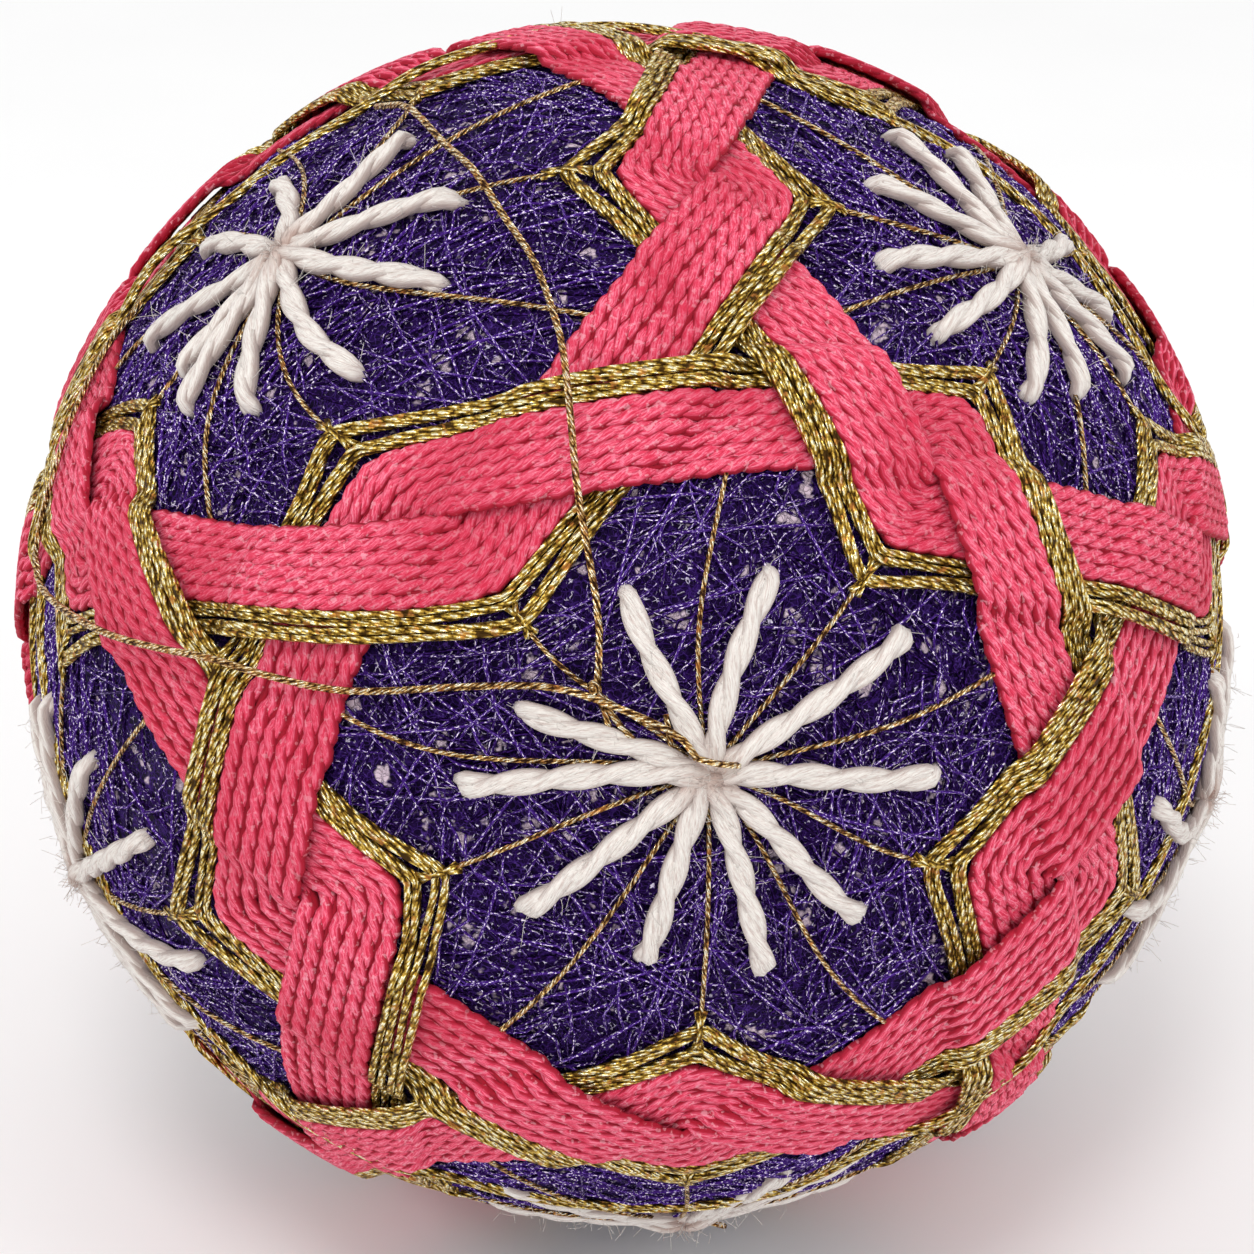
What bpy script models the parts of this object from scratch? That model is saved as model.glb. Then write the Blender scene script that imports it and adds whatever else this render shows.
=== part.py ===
"""Temari ball: a wound thread ball stitched with twelve interlaced pentagon bands.

The ball is divided like an icosahedron. Each of its twelve centres carries a white ten-rayed star
and a closed five-sided band of pink cotton with a gold border outside it. Where two bands cross,
one lies over the other, and the order turns the same way round at every three-band junction.
Everything is worked out on the regular division first. `uneven` then moves each direction by the
few degrees that a hand-made ball is out, and `settle` presses the small flat spot it rests on.
"""
import math

import bpy
import bmesh
import numpy as np

MM = 0.001

# Radii from the ball's centre
CORE_RADIUS = 39.6 * MM
BAND_BASE = 40.1 * MM
BAND_THICKNESS = 0.6 * MM
CROSSING_LIFT = 1.1 * MM
STAR_BASE = 39.9 * MM
TOP_RADIUS = BAND_BASE + CROSSING_LIFT + BAND_THICKNESS
REST_HEIGHT = 40.7 * MM

# The division: rings of centres by their angle from the top, and the front centre's heading
TOP_RING = 37.377
UPPER_RING = 79.188
FRONT_HEADING = 276.0
NEIGHBOUR_COSINE = 1 / math.sqrt(5)
HALF_TURN = 36.0

CENTRES = (
    # code, node ending, angle from the top, turn from the front
    ("F", "front", UPPER_RING, 0),
    ("TL", "top_left", TOP_RING, -60),
    ("TR", "top_right", TOP_RING, 60),
    ("TB", "top_back", TOP_RING, 180),
    ("BR", "back_right", UPPER_RING, 120),
    ("BL", "back_left", UPPER_RING, -120),
    ("L", "left", 180 - UPPER_RING, -60),
    ("R", "right", 180 - UPPER_RING, 60),
    ("B", "back", 180 - UPPER_RING, 180),
    ("UF", "under_front", 180 - TOP_RING, 0),
    ("UR", "under_right", 180 - TOP_RING, 120),
    ("UL", "under_left", 180 - TOP_RING, -120),
)

# How far the hand-made division is out. A place is the middle of the centres it names.
UNEVEN_REACH = 24.0
UNEVEN = (
    # place, degrees east, degrees north
    ("F", 0.6, 3.5),
    ("TL", -0.8, -0.7),
    ("TR", -1.2, -3.6),
    ("R", 7.6, 0.2),
    ("UF", 1.1, 2.0),
    ("L", -9.7, -2.5),
    ("F TL TR", 4.9, 0.3),
    ("F TL L", -5.9, 0.6),
    ("F TR R", 1.9, 0.2),
    ("F R UF", 3.8, -1.3),
    ("F UF L", -3.5, -0.6),
    ("TL TR", 4.6, -2.2),
    ("F TL", -1.4, -1.3),
    ("F TR", 3.0, 0.8),
    ("F R", 3.3, -1.3),
    ("F L", -3.8, -0.1),
    ("F TL TL", -4.3, -3.7),
    ("F TR TR", 4.3, -0.7),
    ("F R R", 6.7, -6.1),
    ("F L L", -8.8, -3.6),
    ("TL F F", -1.9, -0.5),
    ("TR F F", 2.5, 1.7),
    ("TR TL TL", 3.4, 1.7),
    ("R F F", 0.4, -0.2),
    ("L F F", -1.9, 1.1),
    ("L TL TL", -5.5, 2.4),
    ("TB", 0.0, 0.0),
    ("BR", 0.0, 0.0),
    ("BL", 0.0, 0.0),
    ("B", 0.0, 0.0),
    ("UR", 0.0, 0.0),
    ("UL", 0.0, 0.0),
)

# A band's sides, as angles between its centre and the great circle along each side
PINK_SIDES = (27.2, 33.9)
GOLD_SIDES = (34.4, 36.5)
CROSSED = (PINK_SIDES[0], GOLD_SIDES[1])
CLEAR = 0.25
RAMP = 2.0

# Stars. A ray's turn is clockwise from the star's first neighbour, and its reach is from the hub.
RAYS = 10
HUB_ANGLE = 3.6
PLAIN_REACH = 18.0
HAND_RAYS = {
    # centre: (turn, reach) of each ray in degrees
    "F": ((19, 18.9), (50, 18.4), (89, 20.5), (123, 19.8), (163, 17.6),
          (197, 16.3), (235, 16.4), (270, 18.0), (314, 16.9), (344, 14.6)),
    "TL": ((16, 14.5), (53, 16.1), (70, 14.0), (101, 20.8), (138, 17.1),
           (171, 14.7), (229, 12.7), (291, 14.2), (321, 17.4), (346, 17.7)),
    "TR": ((19, 20.4), (49, 19.0), (93, 15.6), (135, 17.5), (162, 16.8),
           (212, 15.7), (247, 15.4), (275, 17.4), (322, 17.5), (345, 20.4)),
    "L": ((14, 20.3), (54, 18.0), (90, 18.0), (126, 18.0), (162, 18.0),
          (198, 18.0), (234, 18.0), (268, 16.1), (315, 18.4), (341, 20.7)),
    "R": ((23, 22.0), (72, 17.8), (106, 18.0), (134, 18.0), (162, 18.0),
          (198, 18.0), (234, 18.0), (270, 18.0), (314, 18.0), (355, 20.1)),
    "UF": ((28, 18.4), (44, 22.0), (75, 18.0), (110, 18.0), (145, 18.0),
           (180, 18.0), (215, 18.0), (250, 18.0), (282, 18.0), (312, 20.5)),
}
RAY_HALF_WIDTH = 0.8 * MM
RAY_HEIGHT = 1.3 * MM
HUB_HEIGHT = 1.6 * MM

# The wound ball's mesh
CORE_SEGMENTS = 28
CORE_RINGS = 14

# Loose gold threads, from end to end. Heights are above the wound ball's nominal radius.
NOMINAL_RADIUS = 40.0 * MM
THREAD_DIAMETER = 0.45 * MM
THREAD_POINTS = 34
UPPER_THREAD = (
    # azimuth, elevation, height in mm
    (-174.0, 67.0, 0.8),
    (-154.5, 69.0, 1.7),
    (-134.5, 67.5, 1.3),
    (-120.0, 64.5, 1.8),
    (-111.0, 61.0, 0.9),
    (-104.0, 57.0, 0.9),
    (-99.0, 51.0, 2.0),
    (-97.0, 47.0, 2.3),
    (-95.5, 41.0, 2.3),
    (-94.5, 36.0, 2.2),
    (-92.5, 27.0, 0.6),
    (-92.5, 21.5, 0.6),
    (-92.0, 20.0, 0.6),
)
LEFT_THREAD = (
    # azimuth, elevation, height in mm
    (-160.0, 16.5, 1.7),
    (-156.0, 15.5, 1.9),
    (-149.5, 16.0, 2.2),
    (-140.5, 17.0, 2.4),
    (-133.5, 18.0, 2.2),
    (-127.0, 19.0, 2.3),
    (-121.5, 19.0, 1.9),
    (-116.0, 19.0, 1.3),
    (-111.5, 19.5, 0.7),
    (-103.0, 21.0, 0.6),
    (-96.0, 21.5, 1.4),
    (-90.5, 20.0, 1.5),
    (-86.0, 18.0, 2.0),
    (-84.5, 16.2, 2.1),
)

PINK = (0.80, 0.10, 0.20)
GOLD = (0.56, 0.40, 0.12)
VIOLET = (0.045, 0.012, 0.16)
WHITE = (0.86, 0.80, 0.77)


def clear_scene():
    for old in list(bpy.data.objects):
        bpy.data.objects.remove(old, do_unlink=True)


def material(name, colour, roughness, metallic):
    made = bpy.data.materials.new(name)
    made.use_nodes = True
    shader = made.node_tree.nodes["Principled BSDF"]
    shader.inputs["Base Color"].default_value = (*colour, 1.0)
    shader.inputs["Roughness"].default_value = roughness
    shader.inputs["Metallic"].default_value = metallic
    return made


def unit(vector):
    return vector / np.linalg.norm(vector)


def direction(azimuth, elevation):
    az, el = math.radians(azimuth), math.radians(elevation)
    return np.array([math.cos(el) * math.cos(az), math.cos(el) * math.sin(az), math.sin(el)])


CENTRE = {
    code: direction(FRONT_HEADING + turn, 90 - polar) for code, _, polar, turn in CENTRES
}


def place(codes):
    """The direction midway between the centres named, a name given twice counting double."""
    return unit(sum(CENTRE[code] for code in codes.split()))


def nearness(points, anchors):
    """How strongly each anchor's shift is felt at each point."""
    angle = np.degrees(np.arccos(np.clip(points @ anchors.T, -1.0, 1.0)))
    return np.exp(-((angle / UNEVEN_REACH) ** 2))


def uneven_weights():
    anchors = np.array([place(codes) for codes, _, _ in UNEVEN])
    shifts = []
    for anchor, (_, east_deg, north_deg) in zip(anchors, UNEVEN):
        east = unit(np.cross((0.0, 0.0, 1.0), anchor))
        north = np.cross(anchor, east)
        shifts.append(math.radians(east_deg) * east + math.radians(north_deg) * north)
    return anchors, np.linalg.solve(nearness(anchors, anchors), np.array(shifts))


ANCHORS, WEIGHTS = uneven_weights()


def uneven(vector):
    """Moves a direction of the regular division to where it is on this ball."""
    return unit(vector + nearness(vector[None, :], ANCHORS)[0] @ WEIGHTS)


def settle(vector, radius):
    """The point at this radius, drawn in near the bottom so that the ball rests on a flat spot."""
    press = 0.0
    if vector[2] < 0:
        press = max(0.0, TOP_RADIUS + REST_HEIGHT / vector[2])
    return vector * (radius - press)


def neighbours(code):
    """The five centres next to this one, clockwise as seen from outside."""
    centre = CENTRE[code]
    close = [c for c in CENTRE if abs(CENTRE[c] @ centre - NEIGHBOUR_COSINE) < 0.001]
    across = unit(np.cross(centre, CENTRE[close[0]]))
    along = np.cross(across, centre)

    def turn(other):
        return -math.atan2(CENTRE[other] @ across, CENTRE[other] @ along)

    return sorted(close, key=lambda other: (turn(other) + 0.1) % (2 * math.pi))


def side_pole(centre, junction, angle):
    """The pole of the great circle that is square to the line from centre to junction."""
    towards = unit(junction - (junction @ centre) * centre)
    return math.cos(math.radians(angle)) * towards - math.sin(math.radians(angle)) * centre


def crossing(pole_a, pole_b, junction):
    """Where two great circles cross on the junction's side of the ball."""
    point = unit(np.cross(pole_a, pole_b))
    return point if point @ junction > 0 else -point


def corner(centre, other, side_angle):
    """A band's corner, on the line to a neighbour, for a side at this angle from the centre."""
    reach = math.atan(math.tan(math.radians(side_angle)) / math.cos(math.radians(HALF_TURN)))
    towards = unit(other - (other @ centre) * centre)
    return math.cos(reach) * centre + math.sin(reach) * towards


def band_rungs(code, sides, over_angles, under_angles):
    """The band's rungs in order: the two side points of each, and how far it is lifted.

    Each side of the band passes over the band of the neighbour it starts at, then under the band
    of the neighbour it ends at. Its rungs lie along those bands' own edges.
    """
    rungs = []
    centre = CENTRE[code]
    ring = neighbours(code)
    for number, first in enumerate(ring):
        start, end = CENTRE[first], CENTRE[ring[(number + 1) % len(ring)]]
        junction = unit(centre + start + end)
        rungs.append((corner(centre, start, sides[0]), corner(centre, start, sides[1]), 0.0))
        poles = [side_pole(centre, junction, side) for side in sides]
        steps = [(start, angle, lift) for angle, lift in over_angles]
        steps += [(end, angle, 0.0) for angle in under_angles]
        for partner, angle, lift in steps:
            edge = side_pole(partner, junction, angle)
            inner, outer = (crossing(pole, edge, junction) for pole in poles)
            rungs.append((inner, outer, lift))
    return rungs


def band(name, code, sides, over_angles, under_angles, finish):
    """A closed flat band of four-cornered section through its rungs."""
    mesh = bmesh.new()
    rows = []
    for inner, outer, lift in band_rungs(code, sides, over_angles, under_angles):
        base = BAND_BASE + lift
        inside, outside = uneven(inner), uneven(outer)
        points = (
            settle(inside, base),
            settle(outside, base),
            settle(outside, base + BAND_THICKNESS),
            settle(inside, base + BAND_THICKNESS),
        )
        rows.append([mesh.verts.new(point) for point in points])
    for row, following in zip(rows, rows[1:] + rows[:1]):
        for i in range(4):
            j = (i + 1) % 4
            mesh.faces.new((row[i], row[j], following[j], following[i]))
    return finish_object(name, mesh, finish)


def plain_rays():
    """Rays as even as the division, each between two of the ball's guide lines."""
    return [(HALF_TURN * (i + 0.5), PLAIN_REACH) for i in range(RAYS)]


def star(name, code, finish):
    """Ten ridged rays from a raised hub."""
    mesh = bmesh.new()
    centre = CENTRE[code]
    ahead = CENTRE[neighbours(code)[0]]
    along = unit(ahead - (ahead @ centre) * centre)
    across = np.cross(along, centre)
    rays = HAND_RAYS.get(code, plain_rays())

    def vertex(turn_deg, polar_deg, sideways, height):
        turn, polar = math.radians(turn_deg), math.radians(polar_deg)
        heading = math.cos(turn) * along + math.sin(turn) * across
        square = math.cos(turn) * across - math.sin(turn) * along
        sphere = math.cos(polar) * centre + math.sin(polar) * heading
        moved = uneven(unit(sphere + square * sideways / STAR_BASE))
        return mesh.verts.new(settle(moved, STAR_BASE + height))

    top = vertex(0, 0, 0, HUB_HEIGHT)
    bottom = vertex(0, 0, 0, 0)
    valleys = []
    for i, (turn, _) in enumerate(rays):
        before = rays[i - 1][0] - (0 if i else 360)
        valleys.append(vertex((before + turn) / 2, HUB_ANGLE, 0, 0))
    for i, (turn, reach) in enumerate(rays):
        right, left = valleys[i], valleys[(i + 1) % RAYS]
        ridge = vertex(turn, HUB_ANGLE, 0, HUB_HEIGHT)
        mesh.faces.new((top, right, ridge))
        mesh.faces.new((top, ridge, left))
        mesh.faces.new((bottom, left, right))
        section = (right, ridge, left)
        for polar in ((HUB_ANGLE + reach) / 2, reach):
            following = (
                vertex(turn, polar, -RAY_HALF_WIDTH, 0),
                vertex(turn, polar, 0, RAY_HEIGHT),
                vertex(turn, polar, RAY_HALF_WIDTH, 0),
            )
            for j in range(3):
                k = (j + 1) % 3
                mesh.faces.new((section[j], following[j], following[k], section[k]))
            section = following
        mesh.faces.new(section)
    return finish_object(name, mesh, finish)


def core(name, finish):
    mesh = bmesh.new()
    bmesh.ops.create_uvsphere(mesh, u_segments=CORE_SEGMENTS, v_segments=CORE_RINGS, radius=1.0)
    for vert in mesh.verts:
        vert.co = settle(unit(np.array(vert.co)), CORE_RADIUS)
    return finish_object(name, mesh, finish)


def finish_object(name, mesh, finish):
    """Turns a bmesh into a shaded object with its faces pointing out."""
    bmesh.ops.recalc_face_normals(mesh, faces=mesh.faces)
    bmesh.ops.triangulate(mesh, faces=mesh.faces)
    data = bpy.data.meshes.new(name)
    mesh.to_mesh(data)
    mesh.free()
    data.materials.append(finish)
    data.shade_smooth()
    data.set_sharp_from_angle(angle=math.radians(40))
    made = bpy.data.objects.new(name, data)
    bpy.context.scene.collection.objects.link(made)
    return made


def smooth_route(points, count):
    """Evenly many points on a smooth curve through the route's own points."""
    padded = [2 * points[0] - points[1], *points, 2 * points[-1] - points[-2]]
    route = []
    for i in range(count):
        at = i * (len(points) - 1) / (count - 1)
        k = min(int(at), len(points) - 2)
        t = at - k
        a, b, c, d = padded[k : k + 4]
        bend = 2 * a - 5 * b + 4 * c - d
        twist = 3 * (b - c) + d - a
        route.append(0.5 * (2 * b + (c - a) * t + bend * t**2 + twist * t**3))
    return route


def loose_thread(name, rows, finish):
    """A thin round cord along a route that lies over the finished pattern."""
    points = [
        direction(azimuth, elevation) * (NOMINAL_RADIUS + height * MM)
        for azimuth, elevation, height in rows
    ]
    data = bpy.data.curves.new(name, "CURVE")
    data.dimensions = "3D"
    data.bevel_depth = THREAD_DIAMETER / 2
    data.bevel_resolution = 2
    data.use_fill_caps = True
    data.materials.append(finish)
    spline = data.splines.new("POLY")
    spline.points.add(THREAD_POINTS - 1)
    for point, spot in zip(spline.points, smooth_route(points, THREAD_POINTS)):
        point.co = (*spot, 1.0)
    made = bpy.data.objects.new(name, data)
    bpy.context.scene.collection.objects.link(made)
    return made


def stand_on_origin(solids, threads):
    """Moves everything so that the middle of the solids' underside is at the origin."""
    corners = np.array([vert.co for solid in solids for vert in solid.data.vertices])
    low, high = corners.min(axis=0), corners.max(axis=0)
    foot = np.array([(low[0] + high[0]) / 2, (low[1] + high[1]) / 2, low[2]])
    for solid in solids:
        for vert in solid.data.vertices:
            vert.co = np.array(vert.co) - foot
    for thread in threads:
        for point in thread.data.splines[0].points:
            point.co = (*(np.array(point.co[:3]) - foot), 1.0)


def build():
    clear_scene()
    pink = material("pink_cotton", PINK, 0.75, 0.0)
    gold = material("gold_braid", GOLD, 0.35, 0.8)
    violet = material("violet_winding", VIOLET, 0.5, 0.3)
    white = material("white_cotton", WHITE, 0.85, 0.0)

    near, far = CROSSED
    middle = (near + far) / 2
    lift = CROSSING_LIFT
    landing = (far + CLEAR, lift), (far + CLEAR + RAMP, 0.0)
    pink_over = ((near - CLEAR, lift), (middle, lift), *landing)
    gold_over = ((near - CLEAR, lift), *landing)

    solids = [core("core", violet)]
    for code, ending, _, _ in CENTRES:
        solids.append(band(f"band_{ending}", code, PINK_SIDES, pink_over, (far, middle, near), pink))
        solids.append(band(f"edging_{ending}", code, GOLD_SIDES, gold_over, (far, near), gold))
        solids.append(star(f"star_{ending}", code, white))
    threads = [
        loose_thread("loose_thread_upper", UPPER_THREAD, gold),
        loose_thread("loose_thread_left", LEFT_THREAD, gold),
    ]
    stand_on_origin(solids, threads)


build()
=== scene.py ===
"""Looks of the temari ball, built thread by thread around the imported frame.

Lengths inside the drawing functions are millimetres from the ball's centre. `to_frame` turns them
into metres in the frame. The pattern is worked out on the regular division of the ball first, then
`uneven` and `settle` move it as they move the CAD solids.
"""
import math

import bmesh
import bpy
import numpy as np
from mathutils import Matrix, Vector

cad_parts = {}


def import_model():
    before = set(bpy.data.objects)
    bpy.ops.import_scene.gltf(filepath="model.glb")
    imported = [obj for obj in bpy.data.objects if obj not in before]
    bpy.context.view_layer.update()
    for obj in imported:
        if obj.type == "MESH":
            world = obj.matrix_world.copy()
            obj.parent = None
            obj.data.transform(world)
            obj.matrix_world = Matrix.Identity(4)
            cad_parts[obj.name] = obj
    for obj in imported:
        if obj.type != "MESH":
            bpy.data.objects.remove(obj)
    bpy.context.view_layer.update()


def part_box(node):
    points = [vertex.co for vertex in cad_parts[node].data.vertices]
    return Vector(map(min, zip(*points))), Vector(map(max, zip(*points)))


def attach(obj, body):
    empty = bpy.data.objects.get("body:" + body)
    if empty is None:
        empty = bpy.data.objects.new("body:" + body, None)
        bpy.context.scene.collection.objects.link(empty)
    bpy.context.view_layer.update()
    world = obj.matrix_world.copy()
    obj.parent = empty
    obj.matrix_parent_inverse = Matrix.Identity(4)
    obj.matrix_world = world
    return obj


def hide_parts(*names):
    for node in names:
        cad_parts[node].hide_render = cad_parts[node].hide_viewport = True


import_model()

MM = 0.001

# The CAD part's own numbers, in millimetres and degrees
TOP_RADIUS = 41.8
REST_HEIGHT = 40.7
NOMINAL_RADIUS = 40.0
TOP_RING = 37.377
UPPER_RING = 79.188
FRONT_HEADING = 276.0
NEIGHBOUR_COSINE = 1 / math.sqrt(5)
HALF_TURN = math.radians(36.0)

CENTRES = (
    # code, node ending, angle from the top, turn from the front
    ("F", "front", UPPER_RING, 0),
    ("TL", "top_left", TOP_RING, -60),
    ("TR", "top_right", TOP_RING, 60),
    ("TB", "top_back", TOP_RING, 180),
    ("BR", "back_right", UPPER_RING, 120),
    ("BL", "back_left", UPPER_RING, -120),
    ("L", "left", 180 - UPPER_RING, -60),
    ("R", "right", 180 - UPPER_RING, 60),
    ("B", "back", 180 - UPPER_RING, 180),
    ("UF", "under_front", 180 - TOP_RING, 0),
    ("UR", "under_right", 180 - TOP_RING, 120),
    ("UL", "under_left", 180 - TOP_RING, -120),
)

# How far this hand-made pattern lies from the regular division, at places that centres share
UNEVEN_REACH = 24.0
UNEVEN = (
    # place, degrees east, degrees north
    ("F", 0.6, 3.5),
    ("TL", -0.8, -0.7),
    ("TR", -1.2, -3.6),
    ("R", 7.6, 0.2),
    ("UF", 1.1, 2.0),
    ("L", -9.7, -2.5),
    ("F TL TR", 4.9, 0.3),
    ("F TL L", -5.9, 0.6),
    ("F TR R", 1.9, 0.2),
    ("F R UF", 3.8, -1.3),
    ("F UF L", -3.5, -0.6),
    ("TL TR", 4.6, -2.2),
    ("F TL", -1.4, -1.3),
    ("F TR", 3.0, 0.8),
    ("F R", 3.3, -1.3),
    ("F L", -3.8, -0.1),
    ("F TL TL", -4.3, -3.7),
    ("F TR TR", 4.3, -0.7),
    ("F R R", 6.7, -6.1),
    ("F L L", -8.8, -3.6),
    ("TL F F", -1.9, -0.5),
    ("TR F F", 2.5, 1.7),
    ("TR TL TL", 3.4, 1.7),
    ("R F F", 0.4, -0.2),
    ("L F F", -1.9, 1.1),
    ("L TL TL", -5.5, 2.4),
    ("TB", 0.0, 0.0),
    ("BR", 0.0, 0.0),
    ("BL", 0.0, 0.0),
    ("B", 0.0, 0.0),
    ("UR", 0.0, 0.0),
    ("UL", 0.0, 0.0),
)

HAND_RAYS = {
    # centre: (turn, reach) of each ray in degrees
    "F": ((19, 18.9), (50, 18.4), (89, 20.5), (123, 19.8), (163, 17.6),
          (197, 16.3), (235, 16.4), (270, 18.0), (314, 16.9), (344, 14.6)),
    "TL": ((16, 14.5), (53, 16.1), (70, 14.0), (101, 20.8), (138, 17.1),
           (171, 14.7), (229, 12.7), (291, 14.2), (321, 17.4), (346, 17.7)),
    "TR": ((19, 20.4), (49, 19.0), (93, 15.6), (135, 17.5), (162, 16.8),
           (212, 15.7), (247, 15.4), (275, 17.4), (322, 17.5), (345, 20.4)),
    "L": ((14, 20.3), (54, 18.0), (90, 18.0), (126, 18.0), (162, 18.0),
          (198, 18.0), (234, 18.0), (268, 16.1), (315, 18.4), (341, 20.7)),
    "R": ((23, 22.0), (72, 17.8), (106, 18.0), (134, 18.0), (162, 18.0),
          (198, 18.0), (234, 18.0), (270, 18.0), (314, 18.0), (355, 20.1)),
    "UF": ((28, 18.4), (44, 22.0), (75, 18.0), (110, 18.0), (145, 18.0),
           (180, 18.0), (215, 18.0), (250, 18.0), (282, 18.0), (312, 20.5)),
}
PLAIN_REACH = 18.0
RAYS = 10
RAY_TURN = 36.0

THREAD_DIAMETER = 0.45
THREAD_POINTS = 34
UPPER_THREAD = (
    # azimuth, elevation, height in mm
    (-174.0, 67.0, 0.8),
    (-154.5, 69.0, 1.7),
    (-134.5, 67.5, 1.3),
    (-120.0, 64.5, 1.8),
    (-111.0, 61.0, 0.9),
    (-104.0, 57.0, 0.9),
    (-99.0, 51.0, 2.0),
    (-97.0, 47.0, 2.3),
    (-95.5, 41.0, 2.3),
    (-94.5, 36.0, 2.2),
    (-92.5, 27.0, 0.6),
    (-92.5, 21.5, 0.6),
    (-92.0, 20.0, 0.6),
)
LEFT_THREAD = (
    # azimuth, elevation, height in mm
    (-160.0, 16.5, 1.7),
    (-156.0, 15.5, 1.9),
    (-149.5, 16.0, 2.2),
    (-140.5, 17.0, 2.4),
    (-133.5, 18.0, 2.2),
    (-127.0, 19.0, 2.3),
    (-121.5, 19.0, 1.9),
    (-116.0, 19.0, 1.3),
    (-111.5, 19.5, 0.7),
    (-103.0, 21.0, 0.6),
    (-96.0, 21.5, 1.4),
    (-90.5, 20.0, 1.5),
    (-86.0, 18.0, 2.0),
    (-84.5, 16.2, 2.1),
)

# Short gold ends and knots, drawn but not in the CAD
LOOSE_BITS = (
    # azimuth, elevation, height in mm of each point
    ((-84.5, 16.2, 2.1), (-83.2, 15.8, 2.2), (-82.0, 15.5, 2.0), (-81.0, 15.2, 1.4)),
    ((-92.7, 21.5, 0.8), (-90.9, 18.9, 0.7), (-89.0, 16.9, 0.8), (-87.2, 15.0, 0.7)),
    ((-92.0, 20.0, 0.6), (-91.5, 18.4, 0.7), (-90.9, 16.9, 0.5)),
    ((-93.1, 21.7, 0.9), (-92.8, 21.9, 1.2), (-92.5, 21.6, 1.3), (-92.6, 21.2, 1.2),
     (-92.9, 21.3, 1.3), (-92.9, 21.6, 1.4), (-92.7, 21.6, 1.5)),
    ((-86.7, 19.3, 0.3), (-86.5, 17.9, 0.5), (-86.3, 16.5, 0.6), (-85.8, 15.2, 0.6)),
    ((-160.0, 16.5, 1.7), (-160.6, 19.5, 1.8), (-160.2, 23.6, 2.0), (-161.8, 28.1, 2.0),
     (-164.4, 32.1, 1.7), (-167.4, 35.5, 1.3), (-169.6, 39.5, 0.8)),
    ((-78.5, -50.9, 0.3), (-77.4, -51.4, 0.9), (-76.4, -51.4, 1.1), (-75.6, -50.6, 1.3)),
)

# A gold thread wound once round the ball, near the outline that the photo shows
ROUND_THREAD = (
    # azimuth, elevation
    (174.8, 74.7), (125.5, 81.5), (80.0, 84.9), (8.2, 82.3), (-10.5, 70.6), (-2.3, 60.7),
    (-3.7, 47.8), (-8.7, 35.5), (-10.2, 22.2), (-7.3, 15.2), (-10.1, 9.4), (-13.3, 5.9),
    (-23.6, -1.7), (-28.2, -6.1), (-33.3, -12.0), (-40.2, -19.7), (-51.2, -25.4),
    (-61.9, -31.1), (-68.9, -39.3), (-79.1, -43.1), (-93.9, -39.6), (-107.8, -38.3),
    (-118.2, -30.7), (-134.8, -26.8), (-145.3, -16.2), (-153.4, -4.2), (-162.2, 7.6),
    (-164.7, 14.4), (-164.1, 18.6), (-170.0, 32.1), (-175.5, 46.1), (177.8, 60.1),
)

# The camera, in degrees above level and metres from the ball's centre. Its lens is in millimetres.
CAMERA_ELEVATION = 26.3
CAMERA_DISTANCE = 0.2058
CAMERA_LENS = 85.1
SENSOR_WIDTH = 36.0

# How the threads lie, in millimetres. Each HALF or SPREAD pair is sideways, then outwards from the
# ball. A level is a distance from the ball's centre, and a height is one from the nominal ball.
# Edges, sides, gold lines, flares, ramps, spans, starts and reaches are degrees from a centre.
GROUND_RADIUS = 39.95
FINE_STEP = 0.25
WAVER = 0.045
WAVER_LENGTH = 3.0
# A line climbs over one neighbour's band, at these angles from that neighbour
UP_RAMP = (25.2, 26.9)
DOWN_RAMP = (36.9, 38.5)
ROW_LIFT = 0.93
LIFT_ROUNDING = 0.35
# The other neighbour's band hides it at these angles, and it is drawn more coarsely there
HIDDEN = (28.2, 35.6)
# Its two ends meet this share of the way round, which that band hides on all but the outer two
# gold lines
SEAM_SHARE = 0.15
# A band and its gold border lie between these
COVERED_SIDES = (27.4, 36.6)
# The furthest that a thread's pattern is shifted along it
PATTERN_SHIFT = 50.0

PINK_EDGES = (26.65, 33.95)
PINK_ROUNDING = (0.35, 0.45, 0.6, 0.75, 0.9, 1.0)
PINK_ROWS = len(PINK_ROUNDING)
PINK_LEVEL = 40.42
PINK_PLY_HALF = (0.48, 0.28)
PINK_PLY_SPREAD = (0.22, 0.10)
PINK_PITCH = 2.9
PINK_STEP = 0.47
# Dark threads under the gaps between the pink rows: a dark fill that stands for the shade between
# them, as painted shade
PINK_BED_LEVEL = 40.34
PINK_BED_HALF = (0.42, 0.3)
PINK_BED_ROUNDING = 0.8
PINK_BED_STEP = 1.4

GOLD_LINES = (34.45, 35.15, 35.9, 36.55)
GOLD_FLARE = (0.0, 0.0, 0.9, 0.9)
FLARE_LENGTH = 3.5
GOLD_LEVEL = 40.45
GOLD_HALF = 0.27
GOLD_THICKNESS = (0.88, 1.12)
GOLD_ROUNDING = 0.3
GOLD_STEP = 0.55
FINE_GOLD_HALF = 0.2

RAY_START = (-1.0, 0.2)
RAY_STEP = 0.6
RAY_BEND = 0.25
RAY_HEIGHT = 0.72
RAY_PLY_HALF = (0.54, 0.486)
RAY_PLY_SPREAD = (0.26, 0.14)
RAY_PITCH = 6.5
HUB_STITCHES = 3
HUB_REACH = 1.9
HUB_SHIFT = 0.35
HUB_HEIGHT = 0.55
HUB_RISE = 0.62
HUB_PLY_HALF = (0.3, 0.28)
HUB_PLY_SPREAD = (0.16, 0.1)
HUB_PITCH = 4.0
# How much lower a star lies than the others, as the photo shows it
DRAWN_IN = {"UF": 0.6}

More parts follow.
